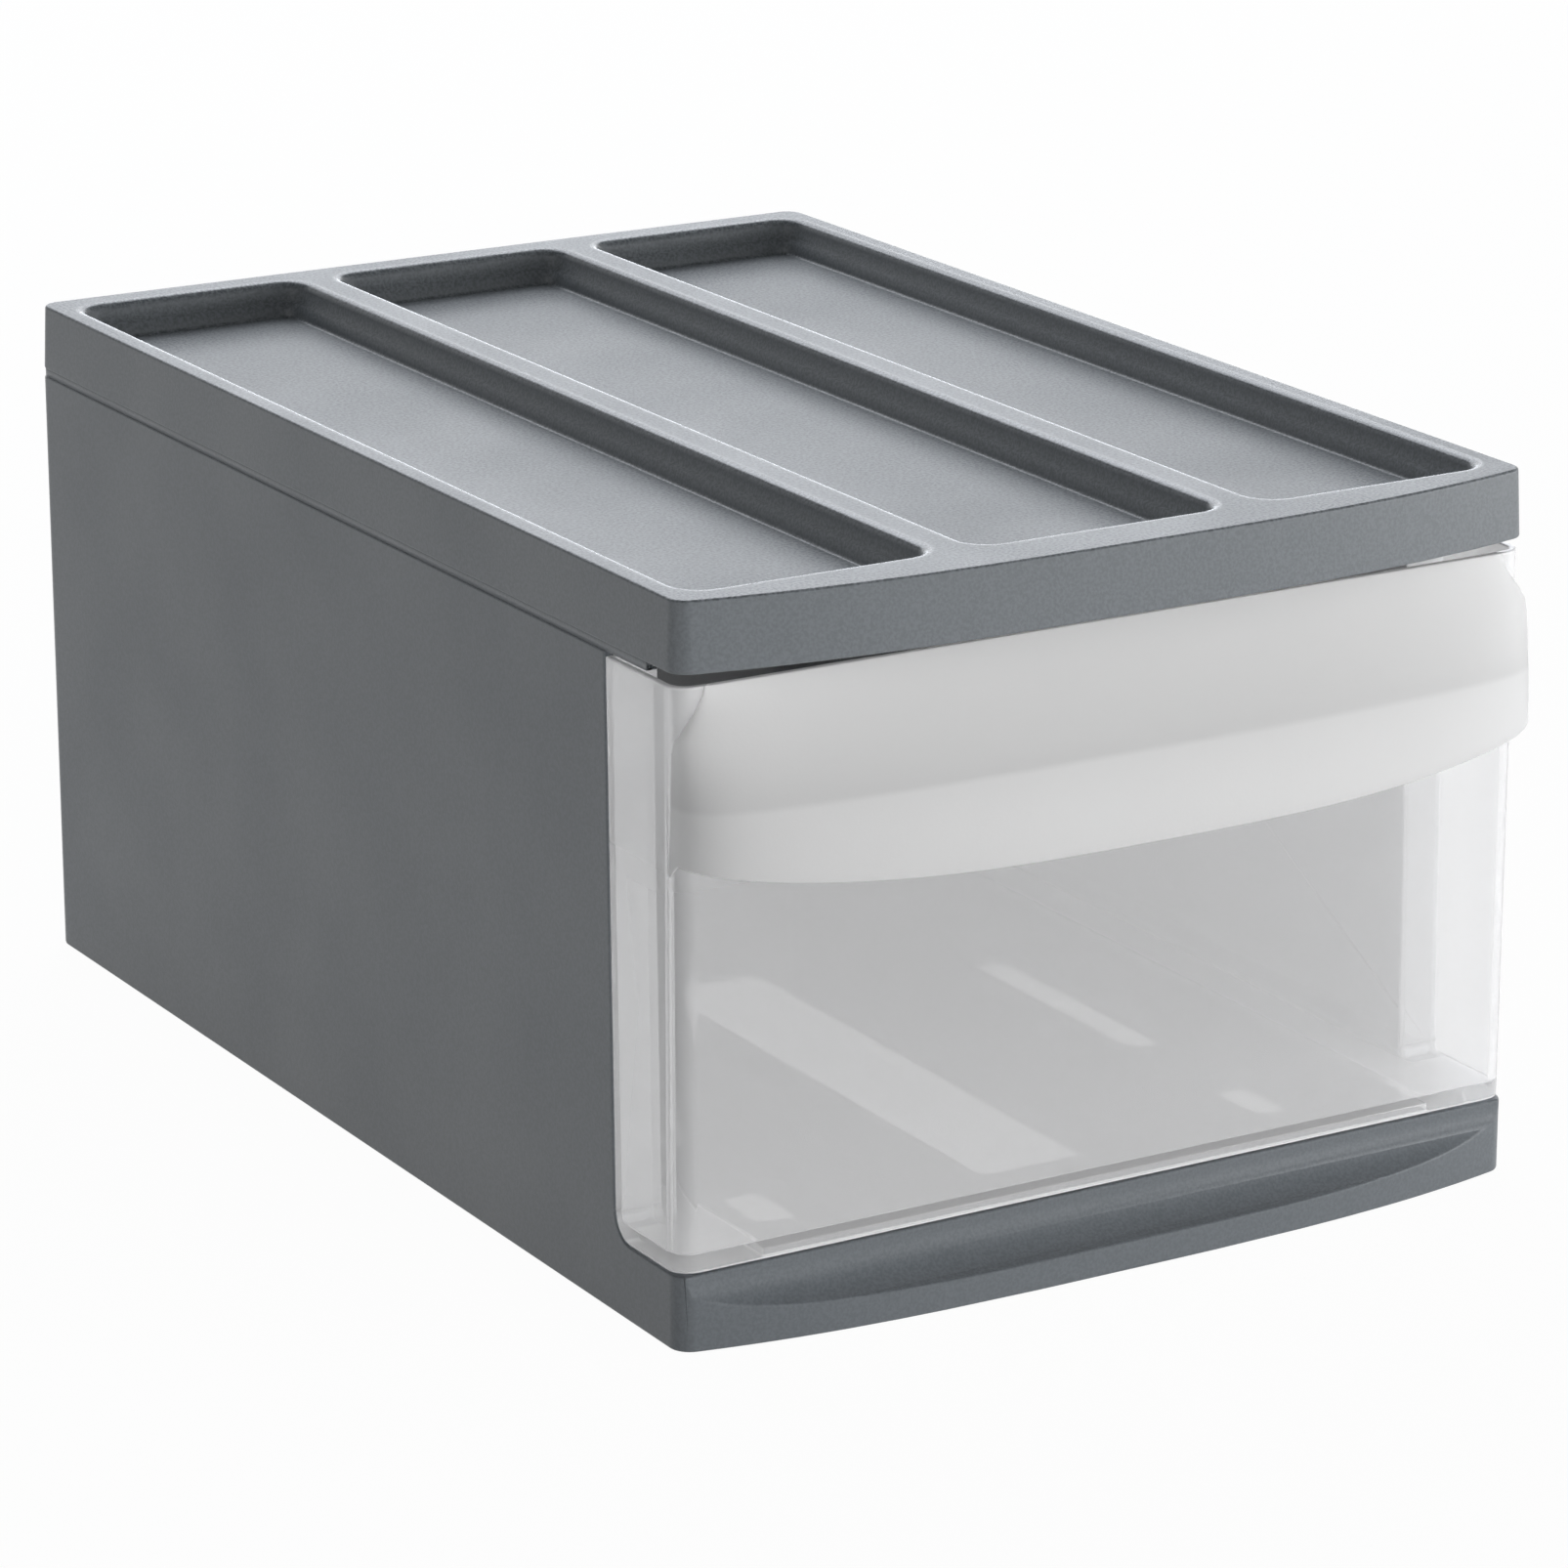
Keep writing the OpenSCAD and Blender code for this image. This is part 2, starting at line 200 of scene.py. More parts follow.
def fillet(a: Point, b: Point, c: Point, radius: float, steps: int) -> list[Point]:
    """Rounds the corner at b of the line from a to c.

    Args:
        a: Point before the corner.
        b: The corner.
        c: Point after the corner.
        radius: Radius of the rounding.
        steps: Number of chords along it.

    Returns:
        Points from the line a-b to the line b-c.
    """
    start, corner, end = Vector(a), Vector(b), Vector(c)
    to_a = (start - corner).normalized()
    to_c = (end - corner).normalized()
    half = to_a.angle(to_c) / 2
    tangent = radius / math.tan(half)
    centre = corner + (to_a + to_c).normalized() * (radius / math.sin(half))
    first = corner + to_a * tangent - centre
    last = corner + to_c * tangent - centre
    sweep = first.angle_signed(last)
    points = []
    for i in range(steps + 1):
        angle = -sweep * i / steps
        turned = Vector((first.x * math.cos(angle) - first.y * math.sin(angle),
                         first.x * math.sin(angle) + first.y * math.cos(angle)))
        points.append(tuple(centre + turned))
    return points


def loft(bm: BMesh, rings: Sequence[Sequence[Sequence[float]]]) -> list[list]:
    """Joins closed rings of points with quads.

    Args:
        bm: The mesh that gets the faces.
        rings: Rings of as many points each.

    Returns:
        The rings' vertices.
    """
    verts = [[bm.verts.new(p) for p in ring] for ring in rings]
    count = len(rings[0])
    for low, high in zip(verts, verts[1:]):
        for i in range(count):
            j = (i + 1) % count
            bm.faces.new((low[i], low[j], high[j], high[i]))
    return verts


def finished(bm: BMesh, name: str) -> Object:
    """Makes a smooth-shaded object of a mesh whose normals point outwards.

    Args:
        bm: The mesh, which is freed.
        name: The object's name.

    Returns:
        The object, linked to the scene.
    """
    mesh = bpy.data.meshes.new(name)
    bm.to_mesh(mesh)
    bm.free()
    mesh.shade_smooth()
    obj = bpy.data.objects.new(name, mesh)
    bpy.context.scene.collection.objects.link(obj)
    return obj


def applied(obj: Object) -> Object:
    """Turns an object's modifiers into plain mesh.

    Args:
        obj: The object.

    Returns:
        The same object, with no modifiers.
    """
    bpy.context.view_layer.update()
    graph = bpy.context.evaluated_depsgraph_get()
    mesh = bpy.data.meshes.new_from_object(obj.evaluated_get(graph))
    obj.modifiers.clear()
    obj.data = mesh
    return obj


def joined(name: str, pieces: Sequence[Object]) -> Object:
    """Joins objects at the origin into one, in order.

    Args:
        name: Name of the result.
        pieces: Objects with no modifiers. They are removed.

    Returns:
        The joined object.
    """
    bm = bmesh.new()
    for piece in pieces:
        bm.from_mesh(piece.data)
        bpy.data.objects.remove(piece)
    return finished(bm, name)


def solidified(obj: Object, wall: float) -> Object:
    """Gives a sheet a wall on its inner side.

    Args:
        obj: The sheet, with normals outwards.
        wall: Thickness.

    Returns:
        The same object.
    """
    modifier = obj.modifiers.new("wall", "SOLIDIFY")
    modifier.thickness = wall
    modifier.offset = -1
    modifier.use_even_offset = True
    modifier.use_quality_normals = True
    return applied(obj)


def softened(obj: Object, radius: float, angle: float = 32.0, crease: float = 180.0) -> Object:
    """Rounds an object's sharp edges and evens its shading.

    Args:
        obj: The object.
        radius: Width of the rounding.
        angle: Edges sharper than this, in degrees, are rounded.
        crease: Other edges sharper than this, in degrees, stay crisp.

    Returns:
        The same object.
    """
    bm = bmesh.new()
    bm.from_mesh(obj.data)
    for edge in bm.edges:
        edge.smooth = not math.radians(crease) < edge.calc_face_angle(0.0) < math.radians(angle)
    bm.to_mesh(obj.data)
    bm.free()
    bevel = obj.modifiers.new("edges", "BEVEL")
    bevel.width = radius
    bevel.segments = 2
    bevel.limit_method = "ANGLE"
    bevel.angle_limit = math.radians(angle)
    bevel.use_clamp_overlap = False
    bevel.miter_outer = "MITER_ARC"
    spans = [(min(axis), max(axis)) for axis in zip(*(vert.co for vert in obj.data.vertices))]
    # A rounding that overshoots at a small corner stays inside the object's box
    for vert in evened(obj).data.vertices:
        vert.co = [min(max(place, low), high) for place, (low, high) in zip(vert.co, spans)]
    return obj


def evened(obj: Object) -> Object:
    """Evens the shading of a smooth object, so that large faces look flat.

    Args:
        obj: The object.

    Returns:
        The same object.
    """
    weighted = obj.modifiers.new("shading", "WEIGHTED_NORMAL")
    weighted.weight = FACE_WEIGHT
    weighted.keep_sharp = True
    return applied(obj)


def moulding_of(node: str, name: str) -> Object:
    """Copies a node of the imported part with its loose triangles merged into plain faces.

    Args:
        node: The node's name.
        name: Name of the copy.

    Returns:
        The copy.
    """
    bm = bmesh.new()
    bm.from_mesh(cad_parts[node].data)
    bmesh.ops.remove_doubles(bm, verts=bm.verts, dist=WELD)
    bmesh.ops.dissolve_limit(bm, angle_limit=FLAT, verts=bm.verts, edges=bm.edges, delimit={"NORMAL"})
    return finished(bm, name)


def dressed(obj: Object, body: Body, material: Material, nodes: Sequence[str]) -> None:
    """Gives a piece its material and its place in the part.

    Args:
        obj: The piece.
        body: The body that it rides on.
        material: Its material.
        nodes: The nodes that it stands for.
    """
    obj.data.materials.clear()
    obj.data.materials.append(material)
    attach(obj, body.value)
    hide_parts(*nodes)
    LOG.info("%s: %d faces, on %s", obj.name, len(obj.data.polygons), body.value)


# ---- finishes


def facing_up(tree: NodeTree) -> NodeSocket:
    """Gives the Z of a face's normal."""
    normal = add(tree, "NewGeometry").outputs["Normal"]
    return add(tree, "SeparateXYZ", {"Vector": normal}).outputs["Z"]


def lamplit(tree: NodeTree, shader: Node, share: float) -> Node:
    """Lets some of a lamp's light pass a wall, so that it reaches what is inside.

    Args:
        tree: The material's tree.
        shader: What all other rays meet.
        share: Share of the light that passes one wall.

    Returns:
        The node that gives the surface.
    """
    passing = add(tree, "BsdfTransparent", {"Color": (share, share, share, 1.0)})
    path = add(tree, "LightPath").outputs
    return add(tree, "MixShader", (path["Is Shadow Ray"], shader, passing))


@dataclass(frozen=True)
class GrainedPolypropylene:
    """Polypropylene from a spark-eroded tool: matt, with an even grain that glitters at a low angle."""

    name: str
    colour: str = "#53585c"
    fleck_and_glint: str = "#82878b"
    roughness: float = 0.40
    # Roughness of the edges, which handling has rubbed smooth, and how much of the grain is left there
    edge_roughness: float = 0.24
    edge_grain: float = 0.15
    # The real grain is about 0.15 mm; it is drawn coarser, so that it shows
    grain_w: float = 0.9 * MM
    grain_depth: float = 0.04 * MM
    # Levels of the grain at which flecks are darkest and palest
    fleck_low: float = 0.36
    fleck_high: float = 0.64
    # How much of the flecks shows on level faces and on upright ones, and the Z of the normals up to which a
    # face is upright and from which it is level: the stronger flecks on level faces are a painted glint of
    # the grain where light grazes it
    level_share: float = 1.0
    upright_share: float = 0.2
    upright_z: float = 0.2
    level_z: float = 0.9
    # Slow change of gloss where the melt flowed, how far it goes, and between which of its levels
    flow_w: float = 45.0 * MM
    flow_gloss: float = 0.03
    flow_low: float = 0.3
    flow_high: float = 0.7

    def material(self) -> Material:
        """Builds the material.

        Returns:
            The material.
        """
        material, tree, place = new_material(self.name)
        grain = add(tree, "TexNoise",
                    {"Vector": place, "Scale": 1 / self.grain_w, "Detail": 1.0, "Roughness": 0.6})
        flow = add(tree, "TexNoise", {"Vector": place, "Scale": 1 / self.flow_w, "Detail": 3.0})
        # Random tone flecks, made stronger on faces that look up as a painted glint where light grazes the
        # grain
        slope = facing_up(tree)
        spread = add(tree, "MapRange",
                     {"Value": slope, "From Min": self.upright_z, "From Max": self.level_z,
                      "To Min": self.upright_share / 2, "To Max": self.level_share / 2})
        darkest = add(tree, "Math", (0.5, spread), operation="SUBTRACT")
        palest = add(tree, "Math", (0.5, spread), operation="ADD")
        fleck_and_glint = add(tree, "MapRange",
                    {"Value": grain, "From Min": self.fleck_low, "From Max": self.fleck_high,
                     "To Min": darkest, "To Max": palest})
        colour = add(tree, "Mix",
                     {"Factor": fleck_and_glint, "A": linear(self.colour), "B": linear(self.fleck_and_glint)}, data_type="RGBA")
        matt = add(tree, "MapRange",
                   {"Value": flow, "From Min": self.flow_low, "From Max": self.flow_high,
                    "To Min": self.roughness - self.flow_gloss, "To Max": self.roughness + self.flow_gloss})
        rubbed = add(tree, "Attribute", attribute_name=EDGE_LAYER).outputs["Fac"]
        gloss = add(tree, "Mix", {0: rubbed, 2: matt, 3: self.edge_roughness})
        grain_kept = add(tree, "MapRange", {"Value": rubbed, "To Min": 1.0, "To Max": self.edge_grain})
        bump = add(tree, "Bump", {"Height": grain, "Strength": grain_kept, "Distance": self.grain_depth})
        shader = add(tree, "BsdfPrincipled",
                     {"Base Color": colour, "Roughness": gloss, "IOR": PLASTIC_IOR, "Normal": bump})
        add(tree, "OutputMaterial", {"Surface": shader})
        return material


@dataclass(frozen=True)
class ClearStyrene:
    """Clear drawer plastic: polished walls with a slight milky haze that whitens what lies behind."""

    name: str
    # Heights of the walls' foot and upper rim, along which a highlight is painted
    foot: float
    rim: float
    tint: str = "#fcfcfc"
    haze_colour: str = "#f7f7f8"
    # Haze low down and near the top, and on the rim and the foot, where the extra haze is a painted
    # highlight
    low_haze: float = 0.26
    high_haze: float = 0.45
    edge_highlight_haze: float = 0.7
    haze_low: float = 120 * MM
    haze_high: float = 165 * MM
    rim_h: float = 0.8 * MM
    # Z of the normals up to which a face counts as an underside, and from which as upright
    under_z: float = -0.95
    upright_z: float = -0.7
    roughness: float = 0.01
    # Faint waviness of a thin moulded wall
    wave_w: float = 30.0 * MM
    wave_depth: float = 0.015 * MM
    lamp_share: float = 0.93

    def material(self) -> Material:
        """Builds the material.

        Returns:
            The material.
        """
        material, tree, place = new_material(self.name)
        height = add(tree, "SeparateXYZ", {"Vector": place}).outputs["Z"]
        milky = add(tree, "MapRange",
                    {"Value": height, "From Min": self.haze_low, "From Max": self.haze_high,
                     "To Min": self.low_haze, "To Max": self.high_haze})
        # The hazier bands at the rim and at the foot paint a highlight along the walls' edges
        rim_low, rim_full = self.rim - self.rim_h, self.rim - self.rim_h / 4
        upper = add(tree, "MapRange",
                    {"Value": height, "From Min": rim_low, "From Max": rim_full,
                     "To Min": milky, "To Max": self.edge_highlight_haze})
        # Only upright faces have the painted highlight along the foot: the floor's underside stays clear
        slope = facing_up(tree)
        upright = add(tree, "MapRange",
                      {"Value": slope, "From Min": self.under_z, "From Max": self.upright_z,
                       "To Max": self.edge_highlight_haze})
        foot_full, foot_top = self.foot + self.rim_h / 2, self.foot + self.rim_h
        haze = add(tree, "MapRange",
                   {"Value": height, "From Min": foot_full, "From Max": foot_top,
                    "To Min": upright, "To Max": upper})
        wave = add(tree, "TexNoise", {"Vector": place, "Scale": 1 / self.wave_w, "Detail": 1.0})
        bump = add(tree, "Bump", {"Height": wave, "Strength": 1.0, "Distance": self.wave_depth})
        clear = add(tree, "BsdfPrincipled",
                    {"Base Color": linear(self.tint), "Roughness": self.roughness, "IOR": PLASTIC_IOR,
                     "Transmission Weight": 1.0, "Normal": bump})
        milk = add(tree, "BsdfPrincipled",
                   {"Base Color": linear(self.haze_colour), "Roughness": self.roughness,
                    "IOR": PLASTIC_IOR})
        body = add(tree, "MixShader", (haze, clear, milk))
        add(tree, "OutputMaterial", {"Surface": lamplit(tree, body, self.lamp_share)})
        return material


@dataclass(frozen=True)
class FrostedStyrene:
    """The same plastic with a sand-blasted skin: soft, pale and only just see-through."""

    name: str
    # Heights of the shelf's underside and of the hood's upper edge
    shelf: float
    top: float
    # Painted shade and light: the colour is darker just above the pocket's floor and grows paler up to the
    # upper edge, where the cover and the dark pocket shade the hood
    colour: str = "#dedede"
    shelf_shade_colour: str = "#d4d4d4"
    top_light_colour: str = "#eeeeee"
    through: float = 0.16
    # Refractive index for what is seen through it, low so that it stays near its place
    through_ior: float = 1.3
    shelf_blur: float = 1.6 * MM
    glow: float = 0.12
    roughness: float = 0.58
    # The real frost is finer than this; it is drawn as coarse as shows
    frost_w: float = 0.9 * MM
    frost_depth: float = 0.02 * MM
    lamp_share: float = 0.85

    def material(self) -> Material:
        """Builds the material.

        Returns:
            The material.
        """
        material, tree, place = new_material(self.name)
        frost = add(tree, "TexNoise", {"Vector": place, "Scale": 1 / self.frost_w, "Detail": 2.0})
        bump = add(tree, "Bump", {"Height": frost, "Strength": 1.0, "Distance": self.frost_depth})
        height = add(tree, "SeparateXYZ", {"Vector": place}).outputs["Z"]
        pocket = add(tree, "MapRange",
                     {"Value": height, "From Min": self.shelf - self.shelf_blur / 2,
                      "From Max": self.shelf + self.shelf_blur / 2})
        # Painted shade just above the shelf and painted light towards the top, in place of the shading there
        upper = add(tree, "MapRange", {"Value": height, "From Min": self.shelf, "From Max": self.top})
        frosted = add(tree, "Mix",
                      {"Factor": upper, "A": linear(self.shelf_shade_colour), "B": linear(self.top_light_colour)},
                      data_type="RGBA")
        colour = add(tree, "Mix",
                     {"Factor": pocket, "A": linear(self.colour), "B": frosted}, data_type="RGBA")
        clear = add(tree, "BsdfPrincipled",
                    {"Base Color": colour, "Roughness": self.roughness, "IOR": self.through_ior,
                     "Transmission Weight": 1.0, "Normal": bump})
        skin = add(tree, "BsdfPrincipled",
                   {"Base Color": colour, "Roughness": self.roughness, "IOR": PLASTIC_IOR, "Normal": bump})
        glow = add(tree, "BsdfTranslucent", {"Color": colour})
        milk = add(tree, "MixShader", (self.glow, skin, glow))
        body = add(tree, "MixShader", (self.through, milk, clear))
        add(tree, "OutputMaterial", {"Surface": lamplit(tree, body, self.lamp_share)})
        return material


# ---- plan


@dataclass(frozen=True)
class Plan:
    """Outline of the box from above: straight sides and back, and a front that bows out."""

    half_w: float
    front: float
    back: float
    bow: float
    corner_r: float = 6 * MM
    least_r: float = 1 * MM
    # Roundness of the front: higher is flatter in the middle
    power: float = 3.0
    front_steps: int = 48
    corner_steps: int = 8

    @classmethod
    def of_part(cls) -> "Plan":
        """Reads the outline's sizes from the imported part.

        Returns:
            The plan of the housing.
        """
        low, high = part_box("body_shell")
        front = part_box("drawer_tray")[0].y
        return cls(half_w=high.x, front=front, back=high.y, bow=front - low.y)

    def ring(self, inset: float) -> list[Point]:
        """Works out the closed outline, counter-clockwise from the right rear corner.

        Args:
            inset: How far the outline lies inside the plan.

        Returns:
            Its points.
        """
        half_w = self.half_w - inset
        radius = max(self.corner_r - inset, self.least_r)
        front = self.front + inset
        slope = math.atan(self.power * self.bow / half_w * ((half_w - radius) / half_w) ** (self.power - 1))
        end_x = half_w - radius + radius * math.sin(slope)
        end_y = front - self.bow * (1 - (end_x / half_w) ** self.power)
        left, right = radius - half_w, half_w - radius
        near, far = end_y + radius * math.cos(slope), self.back - inset - radius
        steps = self.corner_steps
        points = arc_points(right, far, radius, 0, QUARTER, steps)
        points += arc_points(left, far, radius, QUARTER, 2 * QUARTER, steps)
        points += arc_points(left, near, radius, 2 * QUARTER, 3 * QUARTER - slope, steps)
        for i in range(1, self.front_steps):
            x = end_x * (2 * i / self.front_steps - 1)
            points.append((x, front - self.bow * (1 - abs(x / half_w) ** self.power)))
        points += arc_points(right, near, radius, 3 * QUARTER + slope, 4 * QUARTER, steps)
        return points


def arc_points(x: float, y: float, radius: float, start: float, end: float, steps: int) -> list[Point]:
    """Works out the points of an arc round (x, y), from a start to an end angle in radians."""
    angles = [start + (end - start) * i / steps for i in range(steps + 1)]
    return [(x + radius * math.cos(a), y + radius * math.sin(a)) for a in angles]


def level(points: Sequence[Point], z: float) -> list[Vector]:
    """Lifts flat points to a height."""
    return [Vector((x, y, z)) for x, y in points]


# ---- cover


@dataclass(frozen=True)
class Bay:
    """One shallow bay of the deck, given by its edges at the deck."""

    left: float
    right: float
    front: float
    back: float
    corner_r: float
    least_r: float = 0.8 * MM
    corner_steps: int = 8

    def ring(self, offset: float) -> list[Point]:
        """Works out the bay's outline, clockwise, so that its walls face the bay.

        Args:
            offset: How far the outline lies inside the bay's edges.

        Returns:
            Its points.
        """
        radius = max(self.corner_r - offset, self.least_r)
        left, right = self.left + offset + radius, self.right - offset - radius
        front, back = self.front + offset + radius, self.back - offset - radius
        points = []
        for turns, (x, y) in enumerate(((right, back), (right, front), (left, front), (left, back))):
            points += arc_points(x, y, radius, (1 - turns) * QUARTER, -turns * QUARTER, self.corner_steps)
        return points


@dataclass
class Cover:
    """The push-fit cover: a skirt, a deck with three bays, and a collar with bumps below it."""

    plan: Plan
    finish: GrainedPolypropylene
    # Height of the deck
    top: float
    wall: float = 2.4 * MM
    skirt_h: float = 18.8 * MM
    draft: float = 0.8 * MM
    foot_r: float = 0.5 * MM
    edge_r: float = 0.8 * MM
    bay_depth: float = 10 * MM
    bay_rim: float = 8 * MM
    bay_bar: float = 12 * MM
    mid_bay_w: float = 76 * MM
    bay_back_rim: float = 11 * MM
    bay_lean: float = 4 * MM
    bay_r: float = 8 * MM
    bay_edge_r: float = 2.8 * MM
    bay_edge_steps: int = 6
    # Width of the deck along the bays' edges that runs out from grained to rubbed
    rub: float = 0.8 * MM
    bay_floor_r: float = 1.2 * MM
    # Small step part of the way down the bays' walls
    ledge: float = 1.5 * MM
    ledge_share: float = 0.55
    neck_inset: float = 0.3 * MM
    neck_in: float = 15 * MM
    neck_t: float = 3 * MM
    seam_h: float = 2.2 * MM
    plug_h: float = 6 * MM
    plug_inset: float = 2.6 * MM
    plug_in: float = 38 * MM
    plug_t: float = 2 * MM
    bump_l: float = 16 * MM
    bump_h: float = 2 * MM
    bump_out: float = 0.6 * MM
    bump_count: int = 3
    bump_pitch: float = 85.1 * MM

    def bays(self) -> list[Bay]:
        """Lays out the three bays.

        Returns:
            The bays, from left to right.
        """
        half_mid = self.mid_bay_w / 2
        outer = (half_mid + self.bay_bar, self.plan.half_w - self.bay_rim)
        front = self.plan.front + self.bay_rim
        back = self.plan.back - self.bay_back_rim
        spans = [(-outer[1], -outer[0]), (-half_mid, half_mid), outer]
        return [Bay(left, right, front, back, self.bay_r) for left, right in spans]

    def skirt_profile(self) -> list[Point]:
        """Works out the skirt's profile, from its foot to the deck.

        Returns:
            Its points, as inset and height.
        """
        foot = self.top - self.skirt_h
        # The foot and the deck are lines that run on past the roundings
        far = 10 * MM
        line = [(far, foot), (0, foot), (self.draft, self.top), (far, self.top)]
        return fillet(*line[:3], self.foot_r, steps=2) + fillet(*line[1:], self.edge_r, steps=4)

    def bay_profile(self) -> list[Point]:
        """Works out the profile of a bay's wall, from the deck to the bay's floor.

        Returns:
            Its points, as inset and height.
        """
        floor = self.top - self.bay_depth
        # The deck and the floor are lines that run on past the roundings
        far = 20 * MM
        edge, foot = (0.0, self.top), (self.bay_lean, floor)
        step_z = self.top - self.bay_depth * self.ledge_share
        step_in = (self.bay_lean - self.ledge) * self.ledge_share
        points = fillet((-far, self.top), edge, (step_in, step_z), self.bay_edge_r, self.bay_edge_steps)
        points.insert(0, (points[0][0] - self.rub, self.top))
        points += [(step_in, step_z), (step_in + self.ledge, step_z - self.ledge / 4)]
        points += fillet(points[-1], foot, (far, floor), self.bay_floor_r, steps=6)
        return points

    def shell(self) -> Object:
        """Builds the skirt, the deck and the bays as one wall.

        Returns:
            The wall.
        """
        bm = bmesh.new()
        rubbed = bm.verts.layers.float.new(EDGE_LAYER)
        rings = [level(self.plan.ring(inset), z) for inset, z in self.skirt_profile()]
        edges = loft(bm, rings)[-1]
        rims = [edges]
        for bay in self.bays():
            walls = loft(bm, [level(bay.ring(inset), z) for inset, z in self.bay_profile()])
            rims.append(walls[0])
            bm.faces.new(walls[-1])
            for ring in walls[1:self.bay_edge_steps]:
                for vert in ring:
                    vert[rubbed] = 1.0
        bm.edges.ensure_lookup_table()
        border = [bm.edges.get((rim[i], rim[(i + 1) % len(rim)])) for rim in rims for i in range(len(rim))]
        bmesh.ops.triangle_fill(bm, use_beauty=True, use_dissolve=False, edges=border, normal=(0, 0, 1))
        bmesh.ops.recalc_face_normals(bm, faces=bm.faces)
        return solidified(finished(bm, "cover_shell"), self.wall)

    def band(self, bm: BMesh, inset: float, wall: float, low: float, high: float, setback: float) -> None:
        """Adds a strip of wall that runs round the sides and the back.

        Args:
            bm: The mesh that gets it.
            inset: Inset of its outer face.
            wall: Its thickness.
            low: Its lower edge.
            high: Its upper edge.
            setback: How far its two ends lie behind the front.
        """
        inner, front = inset + wall, self.plan.front + setback
        path = [(p, q) for p, q in zip(self.plan.ring(inset), self.plan.ring(inner)) if p[1] >= front]
        # The ring starts at the right rear, so the right side's front end comes first
        outer_x, inner_x = self.plan.half_w - inset, self.plan.half_w - inner
        path = [((outer_x, front), (inner_x, front)), *path, ((-outer_x, front), (-inner_x, front))]
        rings = loft(bm, [[(*p, low), (*p, high), (*q, high), (*q, low)] for p, q in path])
        bm.faces.new(rings[0][::-1])
        bm.faces.new(rings[-1])

    def collar(self) -> Object:
        """Builds the neck in the shadow gap and the collar that plugs into the housing.

        Returns:
            The neck and the collar.
        """
        foot = self.top - self.skirt_h
        wall_top = foot - self.seam_h
        inside = foot + self.wall / 2
        bm = bmesh.new()
        self.band(bm, self.neck_inset, self.neck_t, wall_top, inside, self.neck_in)
        self.band(bm, self.plug_inset, self.plug_t, wall_top - self.plug_h, inside, self.plug_in)
        bmesh.ops.recalc_face_normals(bm, faces=bm.faces)
        return finished(bm, "cover_collar")

    def bumps(self, material: Material) -> Object:
        """Grows the snap bumps in a row along each side of the collar.

        Args:
            material: Their material.

        Returns:
            The bumps.
        """
        wall_top = self.top - self.skirt_h - self.seam_h
        tree, size = form_tree("snap_bumps", {
            "Half length": self.bump_l / 2, "Half height": self.bump_h / 2, "Stand": self.bump_out,
            "Pitch": self.bump_pitch, "Half width": self.plan.half_w - self.plug_inset,
            "First": self.plan.front + self.plug_in - self.plug_t + self.bump_pitch,
            "Level": wall_top - self.plug_h / 2,
        })
        half = add(tree, "CombineXYZ",
                   {"X": size["Stand"], "Y": size["Half length"], "Z": size["Half height"]})
        bead = add(tree, "GeometryNodeMeshUVSphere", {"Segments": 16, "Rings": 8, "Radius": 1.0})
        lens = add(tree, "GeometryNodeTransform", {"Geometry": bead, "Scale": half})
        rows = []
        for side in (-1.0, 1.0):
            across = add(tree, "Math", (size["Half width"], side), operation="MULTIPLY")
            start = add(tree, "CombineXYZ", {"X": across, "Y": size["First"], "Z": size["Level"]})
            pitch = add(tree, "CombineXYZ", {"Y": size["Pitch"]})
            rows.append(add(tree, "GeometryNodeMeshLine",
                            {"Count": self.bump_count, "Start Location": start, "Offset": pitch}))
        places = add(tree, "GeometryNodeJoinGeometry", {"Geometry": rows})
        bumps = add(tree, "GeometryNodeInstanceOnPoints", {"Points": places, "Instance": lens})
        return grown(tree, bumps, material)

    def build(self) -> None:
        """Builds and dresses the cover."""
        material = self.finish.material()
        cover = joined("cover_moulding", [self.shell(), self.collar(), self.bumps(material)])
        dressed(evened(cover), Body.HOUSING, material, ["top_cover"])


# ---- housing


@dataclass
class Housing:
    """The open-fronted housing, whose form is the part's own solid with its edges rounded."""

    finish: GrainedPolypropylene
    edge_r: float = 0.6 * MM
    # Ridges of the finger scoop, which run out at its ends, are crisp down to this angle
    crease: float = 12.5

    def build(self) -> None:
        """Builds and dresses the housing."""
        shell = softened(moulding_of("body_shell", "housing_moulding"), self.edge_r, crease=self.crease)
        dressed(shell, Body.HOUSING, self.finish.material(), ["body_shell"])


# ---- drawer


@dataclass
class Drawer:
    """The clear drawer, whose form is the part's own solid with its edges rounded."""

    finish: ClearStyrene
    edge_r: float = 0.5 * MM

    def build(self) -> None:
        """Builds and dresses the drawer."""
        tray = softened(moulding_of("drawer_tray", "drawer_moulding"), self.edge_r)
        dressed(tray, Body.DRAWER, self.finish.material(), ["drawer_tray"])


